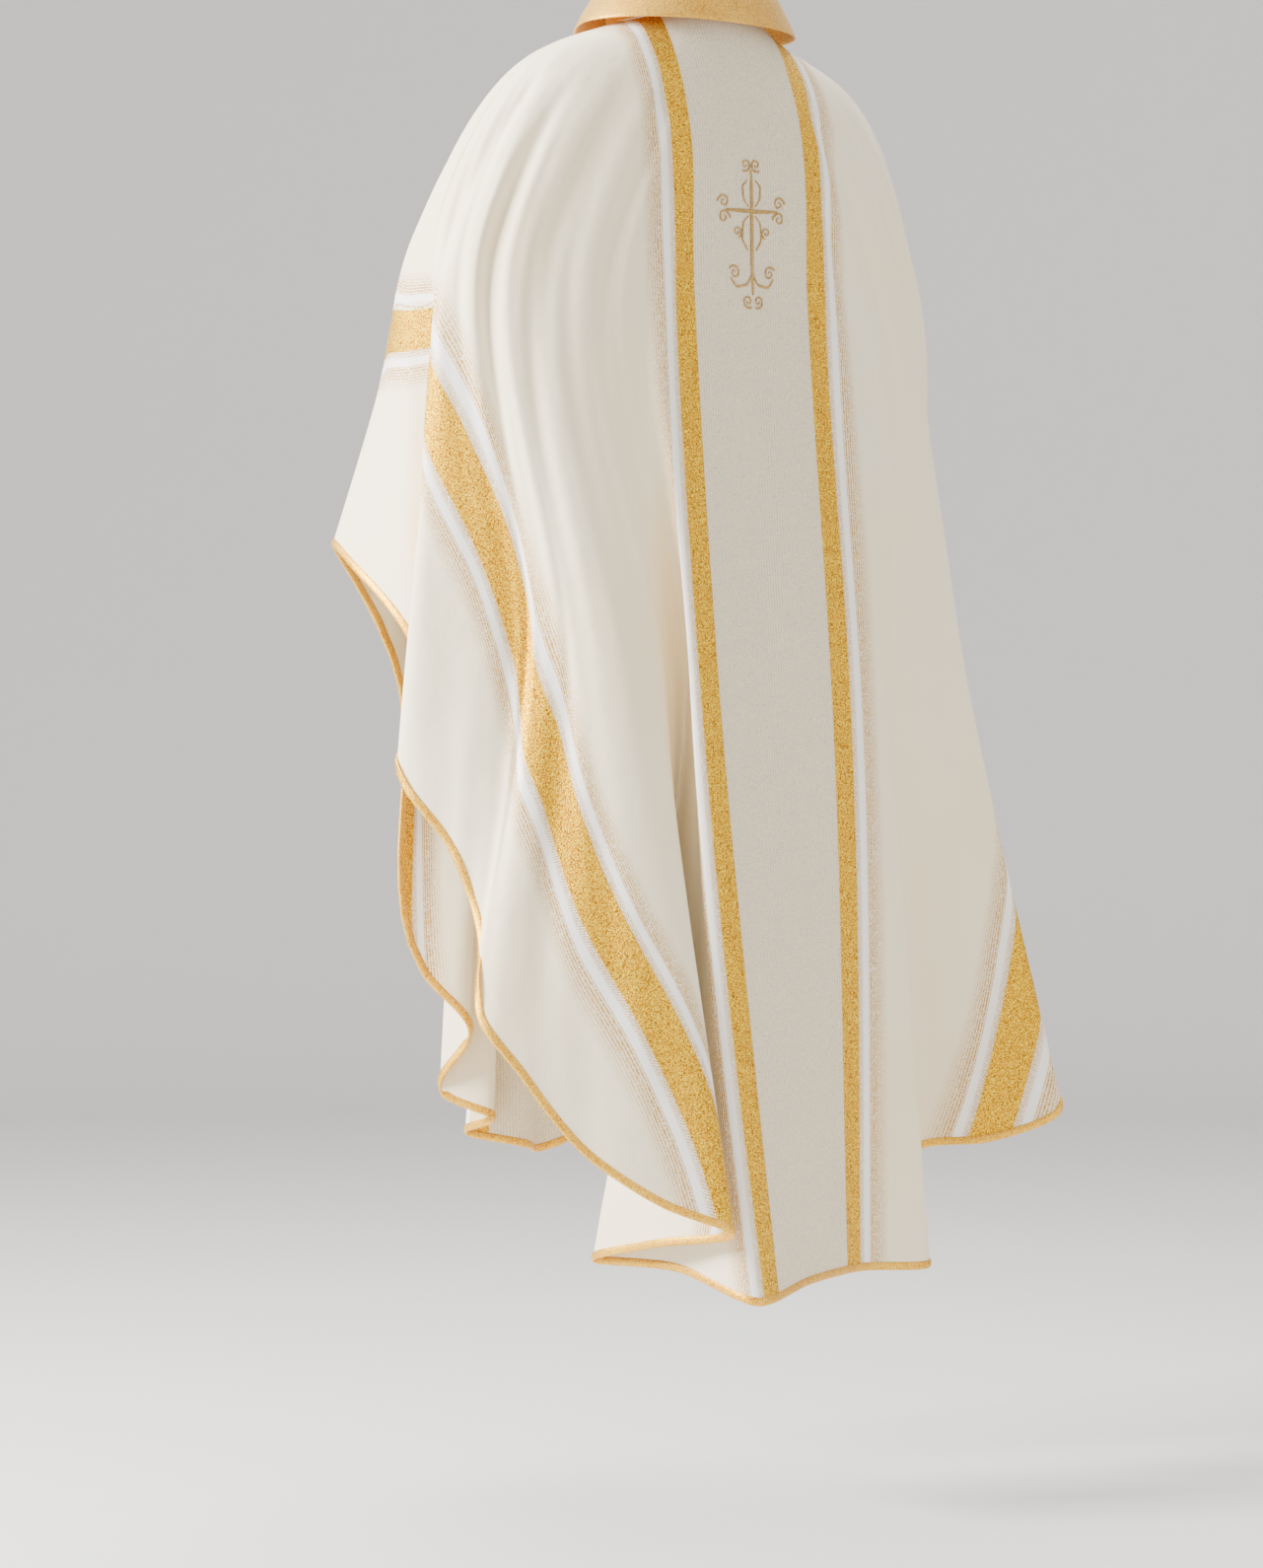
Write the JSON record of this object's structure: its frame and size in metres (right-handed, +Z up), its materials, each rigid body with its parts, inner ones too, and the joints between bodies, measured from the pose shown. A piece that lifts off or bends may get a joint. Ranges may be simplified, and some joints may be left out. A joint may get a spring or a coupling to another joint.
{
  "type": "chasuble",
  "caption": "Gothic-style chasuble in ivory cloth with gold woven bands, draped as worn, open at the neck, sides and hem.",
  "frame": {"origin": "middle of the neckline, at the height where it lies on the shoulders", "axes": "+Z up, -Y the wearer's front, +X the wearer's left"},
  "size_m": [0.7514, 0.5058, 1.3608],
  "materials": {
    "ivory_cloth": "smooth ivory wool-blend cloth with woven gold lame bands",
    "gold_binding": "folded gold lame binding",
    "gold_satin": "gold satin"
  },
  "bodies": {
    "root": {"back": "ivory_cloth", "front": "ivory_cloth", "hem_binding": "gold_binding", "collar_left": "gold_satin", "collar_right": "gold_satin"}
  },
  "joints": []
}
